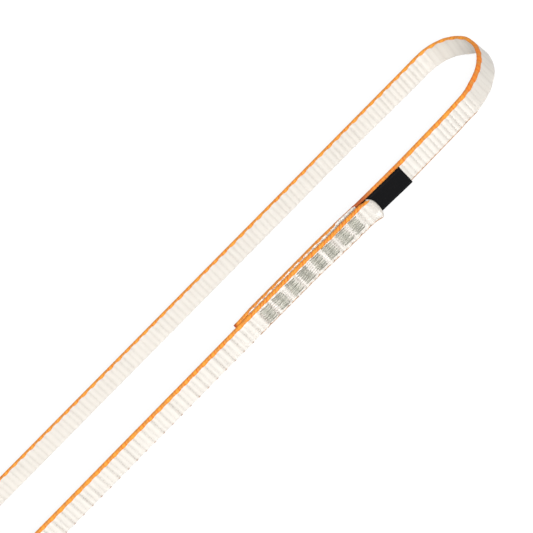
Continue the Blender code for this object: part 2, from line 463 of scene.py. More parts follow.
@dataclass(frozen=True)
class PaperFloor:
    """White background paper: bright to the camera, with a little of the shadow kept."""

    paper: str = "FCFCFC"
    roughness: Pair = (0.85, 1.0)
    patch_mm: float = 25.0  # paper's own fibres are too fine to show; these patches do
    glow: float = 1.07
    glow_share: float = 0.8

    def material(self) -> Material:
        """The paper, which shows white to the camera and in reflections.

        Returns:
            The material.
        """
        made = bpy.data.materials.new("white_background_paper")
        made.use_nodes = True
        tree = made.node_tree
        tree.nodes.remove(tree.nodes["Principled BSDF"])
        spots = add_node(tree, "TexCoord").outputs["Object"]
        pulp = add_node(tree, "TexNoise", {"Vector": spots, "Scale": 1 / (self.patch_mm * MM), "Detail": 3.0})
        low, high = self.roughness
        rough = add_node(tree, "MapRange", {"Value": pulp.outputs["Fac"], "To Min": low, "To Max": high})
        plain = add_node(tree, "BsdfDiffuse", {"Color": linear(self.paper), "Roughness": rough.outputs[0]})
        white = add_node(tree, "Emission", {"Color": linear("FFFFFF"), "Strength": self.glow})
        share = add_node(tree, "Math", {0: seen_directly(tree), 1: self.glow_share}, operation="MULTIPLY")
        both = add_node(tree, "MixShader", {0: share.outputs[0], 1: plain.outputs[0], 2: white.outputs[0]})
        tree.links.new(both.outputs[0], tree.nodes["Material Output"].inputs["Surface"])
        return made


# The way the tape goes


@dataclass
class Route:
    """The tape's middle line seen from above, as the CAD model has it.

    It starts at the inner end of the splice, runs to the near bend, back along the rear run,
    round the far bend and along the front run, climbs over the label and the folded end, and
    turns under at the fold.  The stitches press the layers of the splice closer together than
    the model's rigid ones can lie.
    """

    ply_pitch: float = 2.0
    model_rise: float = 2.9
    pressed_rise: float = 1.35
    pressed_ply: float = 1.3
    fold_setback: float = 87.5
    overlap: float = 84.0
    bend_ease: float = 0.08
    rise_length: float = 27.65
    thread_radius: float = 0.2
    tuck_beyond: float = 0.8
    layer_gap: float = 0.3
    bend_steps: int = 240
    rise_steps: int = 60
    fold_steps: int = 40
    same_spot: float = 1e-6

    def __post_init__(self) -> None:
        """Works the line out from the boxes of the CAD nodes."""
        low, high = box_mm("webbing")
        first = box_mm("needle_thread_1")[0]
        self.rear_y = high.y - HALF_TAPE
        self.outer_y = low.y + HALF_TAPE + self.model_rise
        self.folded_y = self.outer_y - self.pressed_rise
        self.inner_y = self.outer_y + self.ply_pitch
        self.fold_x = high.x - self.fold_setback
        self.inner_end_x = self.fold_x - self.overlap
        self.tuck_end_x = first.x + self.thread_radius - self.tuck_beyond
        self.rise_end_x = self.tuck_end_x - self.layer_gap
        self.rise_start_x = self.rise_end_x - self.rise_length
        bend = self.bend_shape()
        reach = float(bend[:, 0].max())
        near_width, far_width = self.rear_y - self.inner_y, self.rear_y - self.outer_y
        self.near_x = high.x - HALF_TAPE - reach * near_width
        self.far_x = low.x + HALF_TAPE + reach * far_width
        turn = np.arange(len(bend)) / self.bend_steps
        ease = self.bend_ease * np.sin(2 * math.pi * turn) / (2 * math.pi)
        heading = math.pi * (turn - ease)
        near = np.c_[bend * near_width + (self.near_x, self.inner_y), heading]
        far = np.c_[bend * -far_width + (self.far_x, self.rear_y), heading + math.pi]
        climb_x = np.linspace(self.rise_start_x, self.rise_end_x, self.rise_steps)
        climb_y = self.outer_layer_y(climb_x)
        climb = np.c_[climb_x, climb_y, 2 * math.pi + np.arctan(np.gradient(climb_y, climb_x))]
        fold_radius = self.pressed_ply / 2
        fold_start = self.fold_x - fold_radius - HALF_TAPE
        angle = np.linspace(-math.pi / 2, math.pi / 2, self.fold_steps)
        fold = np.c_[
            fold_start + fold_radius * np.cos(angle),
            self.folded_y + fold_radius * (1 + np.sin(angle)),
            angle + 2.5 * math.pi,
        ]
        tuck = [[self.tuck_end_x, self.folded_y + self.pressed_ply, 3 * math.pi]]
        line = np.vstack([[[self.inner_end_x, self.inner_y, 0.0]], near, far, climb, fold, tuck])
        self.line = line[np.r_[True, np.diff(run_length(line[:, :2])) > self.same_spot]]
        self.along = run_length(self.line[:, :2])
        self.length = float(self.along[-1])
        self.fold_along = self.length - (fold_start - self.tuck_end_x) - math.pi * fold_radius

    def bend_shape(self) -> Array:
        """Points of a half turn to the left, from (0, 0) to (0, 1).

        Returns:
            The points, as steps + 1 by 2.
        """
        middle = (np.arange(self.bend_steps) + 0.5) / self.bend_steps
        heading = math.pi * (middle - self.bend_ease * np.sin(2 * math.pi * middle) / (2 * math.pi))
        steps = np.c_[np.cos(heading), np.sin(heading)]
        points = np.vstack([[0.0, 0.0], np.cumsum(steps, axis=0)])
        return points / points[-1, 1]

    def outer_layer_y(self, x: Array | float) -> Array:
        """Middle of the outer layer, which climbs over the label and the folded end."""
        share = (np.asarray(x) - self.rise_start_x) / (self.rise_end_x - self.rise_start_x)
        return self.outer_y - self.pressed_rise * smooth(share)

    def at(self, along: Array) -> tuple[Array, Array, Array]:
        """Place and heading at lengths along the tape.

        Args:
            along: lengths from the inner end.

        Returns:
            X, Y and the heading, each as an array of the same shape.
        """
        x, y, heading = (np.interp(along, self.along, self.line[:, k]) for k in range(3))
        return x, y, heading


@dataclass
class Lay:
    """How the real tape lies, against the straight runs of the CAD model.

    Its front run leans back, wanders by a few tenths of a millimetre and is pulled in a
    little at the near bend.  Every piece goes through this, so all stay on each other.
    """

    drift_x: Row = (-290.0, 0.0, 100.0, 127.0, 154.0, 179.0, 198.0, 210.0, 222.0, 260.0, 280.0)
    drift_y: Row = (-0.5, -0.45, 0.05, 0.1, -0.05, 0.1, -0.3, -0.65, -0.8, 0.0, 0.6)
    lean_x: Row = (-290.0, 100.0, 127.0, 170.0, 195.0, 215.0, 290.0)
    lean_degrees: Row = (7.0, 7.5, 9.5, 9.5, 9.0, 9.5, 9.5)
    rear_lean: float = 2.0
    tip_pull: float = -0.7
    tip_from: float = 250.0
    tip_over: float = 30.0
    front_y: float = -15.0
    rear_y: float = 20.0
    reach: float = 290.0
    knots: int = 1161
    soft_knots: int = 41  # the wander is rounded off over this many knots, half a millimetre apart

    def settle(self, places: Array) -> Array:
        """Moves points from the CAD model's straight lay to the real one.

        Args:
            places: points in millimetres, along the last axis.

        Returns:
            The moved points, in millimetres.
        """
        x, y, z = places[..., 0], places[..., 1], places[..., 2]
        front = 1 - ramp(y, self.front_y, self.rear_y - self.front_y)
        knots = np.linspace(-self.reach, self.reach, self.knots)
        raw = np.interp(knots, self.drift_x, self.drift_y)
        window = np.hanning(self.soft_knots)
        padded = np.pad(raw, self.soft_knots // 2, mode="edge")
        soft = np.convolve(padded, window / window.sum(), mode="valid")
        lean = np.interp(x, self.lean_x, self.lean_degrees)
        moved = places.copy()
        moved[..., 0] = x + self.tip_pull * ramp(x, self.tip_from, self.tip_over)
        shift = np.interp(x, knots, soft) + (z - TAPE_WIDTH / 2) * np.tan(np.radians(lean))
        rear_shift = (z - TAPE_WIDTH) * np.tan(np.radians(self.rear_lean))
        moved[..., 1] = y + front * shift + (1 - front) * rear_shift
        return moved


# Making meshes


def roll_grid(name: str, places: Array, chart: Array, map_name: str, shades: dict[str, Array]) -> Piece:
    """Rolls a grid into a closed tube, one ring of points for each station.

    Args:
        name: the piece's name.
        places: points in millimetres, as stations by ring points by 3.
        chart: the map of the surface in millimetres, as stations by ring points + 1 by 2.
        map_name: the name of that map.
        shades: numbers that the material reads, each as stations by ring points.

    Returns:
        The piece, smooth shaded, with closed ends and its faces outwards.
    """
    stations, ring = places.shape[:2]
    bpy.ops.object.select_all(action="DESELECT")
    bpy.ops.mesh.primitive_grid_add(x_subdivisions=stations - 1, y_subdivisions=ring, size=1)
    piece = bpy.context.object
    piece.name = piece.data.name = name
    mesh = piece.data
    closed = np.concatenate([places, places[:, :1]], axis=1)
    # The grid counts its points along the stations first.
    mesh.vertices.foreach_set("co", (closed.transpose(1, 0, 2) * MM).astype(np.float32).ravel())
    corner = np.empty(len(mesh.loops), np.int32)
    mesh.loops.foreach_get("vertex_index", corner)
    while mesh.uv_layers:
        mesh.uv_layers.remove(mesh.uv_layers[0])
    layer = mesh.uv_layers.new(name=map_name)
    flat = chart.transpose(1, 0, 2).reshape(-1, 2)[corner]
    layer.uv.foreach_set("vector", flat.astype(np.float32).ravel())
    for shade, values in shades.items():
        rolled = np.concatenate([values, values[:, :1]], axis=1).T
        read = mesh.attributes.new(shade, "FLOAT", "POINT")
        read.data.foreach_set("value", rolled.astype(np.float32).ravel())
    mesh.update()
    bpy.ops.object.mode_set(mode="EDIT")
    bpy.ops.mesh.select_all(action="SELECT")
    bpy.ops.mesh.remove_doubles(threshold=SAME_POINT)
    bpy.ops.mesh.fill_holes(sides=ring + 1)
    bpy.ops.mesh.select_all(action="SELECT")
    bpy.ops.mesh.normals_make_consistent(inside=False)
    bpy.ops.object.mode_set(mode="OBJECT")
    bpy.ops.object.shade_smooth_by_angle(angle=SHARP)
    return piece


def ring_chart(along: Array, places: Array) -> Array:
    """The map of a tube in millimetres: length along it, and the way round its middle ring.

    Args:
        along: each station's length along the piece.
        places: the tube's points, as stations by ring points by 3.

    Returns:
        Stations by ring points + 1 by 2.
    """
    ring = places[len(places) // 2]
    around = run_length(np.vstack([ring, ring[:1]]))
    return np.stack(np.meshgrid(along, around, indexing="ij"), axis=-1)


def tube(path: Array, radius: float, sides: int) -> Array:
    """Rings of points round a path in space.

    Args:
        path: the tube's middle line, as points by 3.
        radius: the tube's radius.
        sides: how many points a ring has.

    Returns:
        Points by sides by 3.
    """
    ways = np.gradient(path, axis=0)
    ways /= np.linalg.norm(ways, axis=1)[:, None]
    side = np.cross(ways[0], ASKEW)
    angle = 2 * math.pi * np.arange(sides) / sides
    rings = []
    for way, point in zip(ways, path):
        side = side - way * float(side @ way)
        side /= np.linalg.norm(side)
        up = np.cross(way, side)
        rings.append(point + radius * (np.outer(np.cos(angle), side) + np.outer(np.sin(angle), up)))
    return np.array(rings)


# The tape


@dataclass(frozen=True)
class Grooves:
    """One face's pair of grooves; each pair of numbers is for the first groove and the second."""

    width: float
    between_yarns: Pair
    on_yarns: Pair
    cut: Pair
    # dark: how much shade is painted into each groove
    dark: Pair
    ridge: float
    yarn: float


FACES: dict[Side, Grooves] = {
    Side.OUTSIDE: Grooves(0.27, (1.1, 1.0), (0.4, 0.35), (0.24, 0.17), (0.62, 0.4), 0.05, 1.0),
    Side.INSIDE: Grooves(0.36, (1.15, 1.15), (0.85, 0.85), (0.14, 0.14), (0.2, 0.2), 0.0, 0.6),
}


@dataclass
class Weave:
    """The tape's relief: two grooves across it in each repeat, with a wide pillow between."""

    repeat: float = 5.8
    start: float = 1.3
    second: float = 2.45
    pillow: Pair = (2.8, 5.5)
    pillow_rise: float = 0.1
    pillow_shape: float = 0.6
    ridge_at: float = 1.25
    ridge_width: float = 0.6
    floor: float = -0.09
    yarn_rise: Pair = (0.03, -0.04)  # on a yarn, and between two
    alike_from: float = 150.0  # up to here the outer face's two grooves are alike
    alike_over: float = 80.0
    alike: Pair = (-0.4, 0.3)
    stations: Row = (-0.35, -0.12, 0.12, 0.35, 1.2, 2.13, 2.45, 2.77, 3.6, 4.7)
    slip_along: Row = (0, 150, 283, 343, 403, 463, 480, 1074, 1120, 1184, 1299)
    slip_by: Row = (0, 0, 3.9, 3.0, 2.5, 2.3, 2.3, 0.5, 0.55, 1.0, 1.0)
    zigzag: float = 0.16
    seed: int = 11
    repeats: int = 240
    yarns: int = 64
    lead: float = 0.6  # a repeat counts from this far before its first groove
    end_gap: float = 0.25
    knots: int = 4000
    beyond: float = 20.0

    def __post_init__(self) -> None:
        """Draws the small differences between one repeat and the next."""
        draw = np.random.default_rng(self.seed)
        self.shift = draw.normal(0, 0.1, self.repeats)
        self.force = draw.uniform(0.6, 1.3, (self.repeats, self.yarns))
        self.force *= draw.uniform(0.75, 1.2, (self.repeats, 1))
        self.swell = draw.uniform(0.75, 1.2, self.repeats)
        self.mark = draw.uniform(0.35, 1.25, self.repeats)

    def slipped(self, along: Array) -> Array:
        """The loom's own length at a place; tension let the pattern slip by a few millimetres."""
        return along + np.interp(along, self.slip_along, self.slip_by)

    def number(self, along: Array) -> Array:
        """Which repeat a length along the tape lies in."""
        count = np.floor((self.slipped(along) - self.start + self.lead) / self.repeat).astype(int)
        return np.clip(count, 0, self.repeats - 1)

    def phase(self, along: Array) -> Array:
        """How far a place is past the first groove of its repeat, from 0 to the repeat."""
        return np.mod(self.slipped(along) - self.start, self.repeat)

    def station_lengths(self, length: float) -> Array:
        """Lengths along the tape at which the relief needs a ring of points.

        Args:
            length: the tape's length.

        Returns:
            The lengths, in order, with both ends.
        """
        count = int(length / self.repeat) + 2
        loom = self.start + self.repeat * np.arange(-1, count)[:, None] + np.array(self.stations)[None]
        knots = np.linspace(-self.beyond, length + self.beyond, self.knots)
        lines = np.interp(loom, self.slipped(knots), knots)
        inside = lines[(lines > self.end_gap) & (lines < length - self.end_gap)]
        return np.r_[0.0, np.sort(inside), length]

    def first_groove(self, along: Array) -> Array:
        """Distance to the nearest first groove."""
        phase = self.phase(along)
        return np.minimum(phase, self.repeat - phase)

    def second_groove(self, along: Array) -> Array:
        """Distance to the second groove of the repeat."""
        return np.abs(self.phase(along) - self.second)

    def relief(self, along: Array, column: Array, side: Side) -> tuple[Array, Array]:
        """How far the face stands out, and how much shade is painted on it in a groove.

        Args:
            along: lengths along the tape.
            column: the column of points across the face; odd ones lie between two yarns.
            side: which face.

        Returns:
            The height over the tape's flat face, and the painted shade in a groove from 0 to 1.
        """
        number = self.number(along)
        force = self.force[number, column % self.yarns]
        odd = column % 2 == 1
        phase = self.phase(along)
        share = np.clip((phase - self.pillow[0]) / (self.pillow[1] - self.pillow[0]), 0, 1)
        pillow = np.sin(math.pi * share) ** self.pillow_shape * self.swell[number]
        yarn = np.where(odd, self.yarn_rise[1], self.yarn_rise[0])
        face = FACES[side]
        ridge = face.ridge * bump(phase - self.ridge_at, self.ridge_width)
        height = self.floor + self.pillow_rise * pillow + ridge + face.yarn * yarn
        near_start = (side is Side.OUTSIDE) * (1 - ramp(along, self.alike_from, self.alike_over))
        painted_shade = 0.0
        # Each groove cuts into the face, and shade is painted into it.
        for k, gap in enumerate((self.first_groove(along), self.second_groove(along))):
            pressed = bump(gap, face.width) * np.where(odd, face.between_yarns[k], face.on_yarns[k])
            pressed = pressed * force * (1 + self.alike[k] * near_start)
            height = height - face.cut[k] * pressed
            painted_shade = painted_shade + face.dark[k] * pressed
        return height, np.clip(painted_shade, 0, 1)


@dataclass
class Tape:
    """The woven tape: its white body and the dyed yarn in both edges."""

    route: Route
    lay: Lay
    tacks: list[BarTack]
    weave: Weave = field(default_factory=Weave)
    pieces: list[Piece] = field(default_factory=list)
    path_points: int = 420
    columns: int = 16
    column_pitch: float = 0.575
    low_columns: Pair = (0.05, 0.6)
    high_columns: Pair = (-0.72, -0.3)  # from the tape's upper rim
    body_squareness: int = 9
    turn_step: float = 0.25  # the folded end has a ring of points this often
    turn_clear: float = 0.12
    turn_margin: Pair = (-0.6, 0.7)
    edge_ring: int = 14
    edge_step: float = 0.4143
    edge_squareness: Pair = (0.7, 0.75)
    # The yarn's least and greatest height on the outer face, and on the inner one.
    upper_band: Pair = (0.93, 1.25)
    inner_band: Pair = (0.36, 0.86)
    inner_foot: float = 0.12
    band_share: float = 0.62  # half the yarn's height for each millimetre that it shows
    lobe_middle: float = 1.15
    lobe_lean: float = 0.5
    lobe_half: float = 2.5
    neck_half: float = 0.9
    turn_at: Pair = (1.2, 0.34)  # where a twist shows on a lobe, and its half width
    # On the lap the yarn is wound like a cord.
    cord_turns: int = 3
    cord_lean: Pair = (0.4, 0.55)
    cord_half: float = 0.36
    cord_dark: float = 1.1
    cord_even: float = 0.35
    bend_rise: float = 0.45  # how much more of it shows in the bends, and beside the label
    label_rise: float = 0.3
    covered_share: float = 0.93
    covered_lobe: float = 0.32
    narrow: float = 0.5
    narrow_from: Pair = (-8.0, 7.0)
    ending_from: Pair = (0.15, 0.8)
    ending_drop: float = 0.6
    lap_length: float = 98.0
    lap_over: float = 10.0
    sewn_inside: float = 84.0
    sewn_outside: float = 110.0
    gather_gap: float = 0.65  # from a needle hole to where the yarns beside it gather
    gather: Pair = (0.3, -0.1)  # how far they sink between two yarns, and rise on one
    hole_depth: float = 0.35
    hole_gap: float = 0.2
    hole_half: Pair = (0.4, 0.42)
    thin_step: float = 0.08
    thin_from: tuple[Pair, ...] = ((8.4, 0.7), (9.6, 0.6))  # under the yarn of the upper edge
    covered: Stretch = Stretch(5.0, 5.0, 66.0, 14.0)  # where the lap lies over the upper yarn
    bare: Stretch = Stretch(63.5, 3.0, 75.5, 2.5)  # where that yarn has sunk into the tape
    behind: Stretch = Stretch(74.5, 2.5, 81.0, 9.0)  # where it comes out again behind the lap's end, darker in painted shade
    over_label: Stretch = Stretch(84.0, 3.0, 103.0, 4.0)  # where more of its twist shows
    strained: Stretch = Stretch(0.0, 0.08, 0.42, 0.14)  # where painted shade deepens its tone, in shares of the near bend
    past_label: Stretch = Stretch(82.0, 4.0, 144.0, 6.0)  # where the lower edge's yarn shows without gaps
    dash_start_x: float = 133.3
    dash_pitch: float = 5.25
    dash_half: float = 1.6
    flare: float = 0.6
    flared: Stretch = Stretch(2.0, 10.0, 52.0, 30.0)
    flare_foot: float = 8.6
    flare_over: float = 2.4
    # How far a rim moves up or down, and where that begins and over what length.  The lift
    # counts from the inner end, and all that has fold or tuck in its name from the fold.
    lift: float = 0.4
    lift_end: Pair = (48.0, 28.0)
    fold_rise: float = 0.35
    fold_rise_from: Pair = (-24.0, 10.0)
    fold_drop: float = 0.4
    fold_drop_from: Pair = (-4.0, 5.5)
    tuck_lift: float = 0.6
    tuck_dip: float = 1.5
    tuck_from: Pair = (1.5, 2.0)
    tuck_dip_end: Pair = (3.0, 4.0)
    tuck_thin: float = 0.45
    tuck_thin_from: Pair = (-0.4, 1.6)
    # How far the folded end moves, and the middle and half length of each movement.
    fold_bulge: float = 1.5
    bulge_at: Pair = (1.0, 3.0)
    bulge_half: float = 5.0
    fold_foot: float = 1.3
    foot_at: Pair = (0.5, 2.2)
    foot_height: float = 4.0
    fold_lean: float = 0.5
    lean_at: Pair = (-1.6, 2.2)
    bend_start: float = 145.03
    bend_length: float = 78.44
    bend_spread: Row = (-0.02, -0.01, 0.0, 0.01, 0.02)
    bend_share: Row = (
        -0.12, -0.05, 0.04, 0.075, 0.11, 0.14, 0.17, 0.2, 0.24, 0.28, 0.32, 0.36, 0.41, 0.46, 0.51,
        0.54, 0.56, 0.6, 0.64, 0.68, 0.72, 0.76, 0.8, 0.84, 0.87, 0.9, 0.94, 0.97, 1.08, 1.2, 1.35, 1.5,
    )  # fmt: skip
    bend_top: Row = (
        0.1, -0.2, -0.55, -0.7, -1.05, -1.25, -1.0, -0.95, -0.75, -0.72, -0.68, -0.5, -0.48, -0.2, -0.05,
        0.05, 0.65, 0.9, 1.1, 1.35, 1.5, 1.65, 1.45, 1.35, 1.1, 0.85, 0.35, 0.15, 0.0, 0.0, 0.0, 0.0,
    )  # fmt: skip
    bend_low: Row = (
        0.0, -0.4, -0.15, -0.4, -0.3, -0.35, -0.15, 0.0, -0.3, 0.05, 0.25, 0.3, 0.5, 0.85, 1.6,
        1.75, 1.6, 0.6, 0.1, 0.2, 0.35, 0.4, 0.4, 0.1, -0.1, -0.35, -0.6, -0.9, -0.9, -0.7, -0.5, 0.0,
    )  # fmt: skip

    def rim_heights(self, along: Array) -> tuple[Array, Array]:
        """Heights of the lower and upper rim along the tape.

        Args:
            along: lengths from the inner end.

        Returns:
            The two heights.
        """
        past = along - self.route.fold_along
        lifted = self.lift * (1 - ramp(along, *self.lift_end))
        folded = ramp(past, *self.fold_drop_from)
        tucked = ramp(past, *self.tuck_from)
        dipped = tucked * (1 - ramp(past, *self.tuck_dip_end))
        strained = ramp(past, *self.fold_rise_from) * (1 - folded)
        low = lifted + self.tuck_lift * tucked
        high = TAPE_WIDTH + lifted - self.fold_drop * folded - self.tuck_dip * dipped
        return low, high + self.fold_rise * strained

    def place(self, along: Array, out: Array, height: Array) -> Array:
        """Puts points given on the tape into the frame.

        Args:
            along: lengths from the inner end.
            out: distances from the middle line towards the outside.
            height: heights on a level tape, from 0 to the tape's width.

        Returns:
            The places in millimetres.
        """
        x, y, heading = self.route.at(along)
        low, high = self.rim_heights(along)
        tall = low + height / TAPE_WIDTH * (high - low)
        past = along - self.route.fold_along
        opening = ramp(height, self.flare_foot, self.flare_over) * self.flare * self.flared.on(along)
        thin = 1 - self.tuck_thin * ramp(past, *self.tuck_thin_from)
        out = (out - opening) * thin + self.bend_shift(along, height)
        # The folded end bulges past its fold, most in the middle, and its foot stands forward.
        bulging, footing, leaning = (
            bump(past - middle, half) for middle, half in (self.bulge_at, self.foot_at, self.lean_at)
        )
        bulge = self.fold_bulge * bulging * (1 - np.abs(tall / self.bulge_half - 1) ** 3)
        forward = self.fold_foot * footing * (1 - smooth(tall / self.foot_height)) + self.fold_lean * leaning
        x, y = x + bulge + out * np.sin(heading), y - forward - out * np.cos(heading)
        return self.lay.settle(np.stack([x, y, tall], axis=-1))

    def bend_shift(self, along: Array, height: Array) -> Array:
        """How far the tape lies outside the model's line round the near bend.

        Args:
            along: lengths from the inner end.
            height: heights on a level tape.

        Returns:
            The shift outwards, which differs between the two edges as the tape leans.
        """
        share = (along - self.bend_start) / self.bend_length
        spread = self.bend_spread
        top, low = (
            sum(np.interp(share + step, self.bend_share, shifts) for step in spread) / len(spread)
            for shifts in (self.bend_top, self.bend_low)
        )
        return low + (top - low) * height / TAPE_WIDTH

    def lap(self, along: Array) -> Array:
        """1 on the outer layer of the splice, where the tape laps over its own start."""
        return ramp(along - self.route.length, -self.lap_length, self.lap_over)

    def pinch(self, along: Array, height: Array, side: Side) -> Array:
        """How hard the stitches pull a face in, from 0 to 1.

        Args:
            along: lengths from the inner end.
            height: heights across the tape.
            side: which face.

        Returns:
            The pull, which is strongest beside the needle holes.
        """
        x = self.route.at(along)[0]
        if side is Side.OUTSIDE:
            sewn = (along > self.route.length - self.sewn_outside) & (along < self.route.fold_along)
        else:
            sewn = along < self.sewn_inside
        pull = 0.0
        for tack in self.tacks:
            beside = np.abs(x - tack.middle_x) - tack.length / 2 - self.gather_gap
            over_foot = height - tack.foot
            on_tack = ramp(over_foot, -0.2, 0.8) * smooth((tack.height - over_foot) / 0.8)
            pull = pull + bump(beside, 0.75) * on_tack
        return np.clip(pull, 0, 1) * sewn

    def hole(self, along: Array, height: Array) -> Array:
        """How near a place is to the hole by which a needle thread starts, from 0 to 1.

        Args:
            along: lengths from the inner end.
            height: heights across the tape.

        Returns:
            1 at a hole, and 0 away from it.
        """
        x = self.route.at(along)[0]
        near = 0.0
        for tack in self.tacks:
            beside = x - tack.middle_x - tack.length / 2 - self.hole_gap
            above = height - tack.foot - tack.skew
            near = near + bump(beside, self.hole_half[0]) * bump(above, self.hole_half[1])
        return near * self.lap(along) * (along < self.route.fold_along)

    def turning(self, along: Array) -> Array:
        """1 in the bends and 0 on the straight runs."""
        return smooth(2.5 * np.abs(np.sin(self.route.at(along)[2])))

    def body(self) -> Piece:
        """The white body, with a ring of points at each line of the weave.

        Returns:
            The piece.
        """
        route, weave = self.route, self.weave
        along = weave.station_lengths(route.length)
        first, last = self.turn_margin
        turn = np.arange(route.fold_along + first, route.fold_along + math.pi + last, self.turn_step)
        clear = np.abs(along[:, None] - turn[None]).min(axis=1) > self.turn_clear
        along = np.sort(np.r_[along[clear], turn])
        from_middle = np.arange(self.columns) - (self.columns - 1) / 2
        inner_columns = TAPE_WIDTH / 2 + self.column_pitch * from_middle
        heights = np.r_[self.low_columns, inner_columns, TAPE_WIDTH + np.array(self.high_columns)]
        columns = len(heights)
        ring_heights = np.r_[heights, heights[::-1]]
        ring_columns = np.r_[np.arange(columns), np.arange(columns)[::-1]]
        outside = np.arange(2 * columns) < columns
        # The edge that the tape stands on is squarer than the one that the dyed yarn wraps.
        half_width = TAPE_WIDTH / 2 + np.where(ring_heights < 1.0, 0.2, -0.05)
        share = np.abs(ring_heights - TAPE_WIDTH / 2) / half_width
        full = (1 - share**self.body_squareness) ** (1 / self.body_squareness)
        grid_along, grid_column = np.meshgrid(along, ring_columns, indexing="ij")
        out_rise, out_painted_shade = weave.relief(grid_along, grid_column, Side.OUTSIDE)
        in_rise, in_painted_shade = weave.relief(grid_along, grid_column, Side.INSIDE)
        past = grid_along - route.fold_along
        first_gap, second_gap = weave.first_groove(grid_along), weave.second_groove(grid_along)
        # The grooves open up where the tape turns, and smooth out in its folded end.
        turning = self.turning(grid_along)
        flat = (1 - ramp(past, -1.2, 1.2)) * (1 - 0.6 * turning)
        pull_out, pull_in = (self.pinch(grid_along, ring_heights[None], side) for side in Side)
        gather = np.where(ring_columns % 2 == 1, *self.gather)
        hole = self.hole(grid_along, ring_heights[None])
        rise = np.where(outside, out_rise * flat - gather * pull_out, in_rise * flat - gather * pull_in)
        rise = rise - self.hole_depth * hole * outside
        rise = rise - self.thin_step * sum(ramp(ring_heights, *step) for step in self.thin_from)
        out = np.where(outside, 1, -1) * (HALF_TAPE + rise) * full
        # A groove runs in a zigzag from yarn to yarn, and not quite where the next repeat has it.
        step = weave.zigzag * np.array([0.0, 1.0, 0.0, -1.0])[ring_columns % 4]
        wander = step * bump(first_gap, 0.7) + 0.5 * step * bump(second_gap, 0.7)
        wander += weave.shift[weave.number(grid_along)] * bump(first_gap, 1.2)
        wander[:3] = wander[-3:] = 0
        scallop = bump(first_gap, 0.9) * np.where(ring_heights < 0.3, 0.12, 0.0)
        raised = self.bare.on(grid_along) * np.where(ring_heights > TAPE_WIDTH - 0.5, 0.26, 0.0)
        places = self.place(grid_along + wander * flat, out, ring_heights + scallop + raised)
        # Painted shade: the grooves are darkened in the colour, and so are a line just before the fold, the
        # folded end, which turns away from the lamp, and broad bands in the bends.
        painted_shade = np.where(outside, out_painted_shade, in_painted_shade) * flat
        painted_shade += 0.3 * bump(past + 1.4, 0.4) * outside + 0.2 * ramp(past, -1.0, 0.8)
        painted_shade += 0.12 * turning * bump(first_gap, 1.0) * (past < -2.0)
        # Painted shade also darkens the hollows between the gathered yarns beside the stitches, and the
        # needle holes.
        pull = 0.5 * np.where(outside, pull_out, pull_in) * (ring_columns % 2) + 1.2 * hole * outside
        flat_ring = np.c_[np.where(outside, 1, -1) * HALF_TAPE * full, ring_heights, 0 * ring_heights]
        chart = ring_chart(along, flat_ring[None].repeat(len(along), axis=0))
        return roll_grid("tape_body", places, chart, "tape", {"groove": painted_shade, "pinch": pull})

    def selvedge(self, edge: Edge) -> Piece:
        """The dyed yarn that wraps one edge, thick between the weft turns and thin at them.

        Args:
            edge: which edge of the tape.

        Returns:
            The piece.
        """
        route = self.route
        along = np.linspace(0.0, route.length, int(route.length / self.edge_step) + 1)
        angle = 2 * math.pi * (np.arange(self.edge_ring) + 0.5) / self.edge_ring
        grid_along, grid_angle = np.meshgrid(along, angle, indexing="ij")
        round_out, round_up = (
            np.sign(way) * np.abs(way) ** squareness
            for way, squareness in zip((np.cos(grid_angle), np.sin(grid_angle)), self.edge_squareness)
        )
        dress = self.upper_yarn if edge is Edge.UPPER else self.lower_yarn
        out, height, shades = dress(grid_along, round_out, round_up)
        places = self.place(grid_along, out, height)
        middle = len(along) // 2
        chart = ring_chart(along, places[middle][None].repeat(len(along), axis=0))
        ends = np.minimum(grid_along, route.length - grid_along)
        shades["seal_and_shade"] = np.maximum(bump(ends, 1.6), shades.get("seal_and_shade", 0 * ends))
        return roll_grid(f"selvedge_{edge.value}", places, chart, "tape", shades)

    def upper_yarn(self, along: Array, round_out: Array, round_up: Array) -> Ring:
        """The upper edge's yarn: a scalloped band outside, and lobes that reach over it inside.

        Args:
            along: lengths from the inner end.
            round_out: places round the ring, from -1 inside to 1 outside.
            round_up: places round the ring, from -1 below to 1 above.

        Returns:
            Distances outwards, heights, and what the material reads.
        """
        weave, route = self.weave, self.route
        half_repeat = weave.repeat / 2
        lobe_phase = weave.phase(along + self.lobe_lean * round_out) - self.lobe_middle
        from_lobe = np.abs(np.mod(lobe_phase + half_repeat, weave.repeat) - half_repeat)
        neck = bump(from_lobe - half_repeat, self.neck_half)
        thick = (1 - smooth(from_lobe / self.lobe_half)) * weave.swell[weave.number(along)]
        lap = self.lap(along)
        pitch = weave.repeat / self.cord_turns
        wound = along - self.cord_lean[1] * round_up + self.cord_lean[0] * round_out
        mark = weave.mark[(wound / pitch).astype(int) % weave.repeats]
        cord = bump(np.mod(wound, pitch) - pitch / 2, self.cord_half) * mark
        turns = bump(from_lobe - self.turn_at[0], self.turn_at[1]) * weave.mark[weave.number(along)]
        turns = turns + lap * (self.cord_dark * cord - turns)
        covered, over_label, bare, behind = (
            stretch.on(along) for stretch in (self.covered, self.over_label, self.bare, self.behind)
        )
        strained = self.strained.on((along - self.bend_start) / self.bend_length)
        turning = self.turning(along) * (along < route.fold_along)
        least, most = self.upper_band
        outer_band = least + (most - least) * thick * (1 - self.cord_even * lap)
        outer_band = outer_band + self.bend_rise * turning + self.label_rise * over_label * (1 - thick)
        outer_band = outer_band * (1 - self.covered_share * covered) + self.covered_lobe * covered * thick
        least, most = self.inner_band
        band = np.where(round_out > 0, outer_band, least + (most - least) * thick)
        past = along - route.fold_along
        half = self.inner_foot + self.band_share * band * (1 - self.narrow * ramp(past, *self.narrow_from))
        ending = ramp(past, *self.ending_from)
        sunk = (round_out - bare * np.maximum(round_out + 0.12, 0.0)) * (1 - 0.3 * ending)
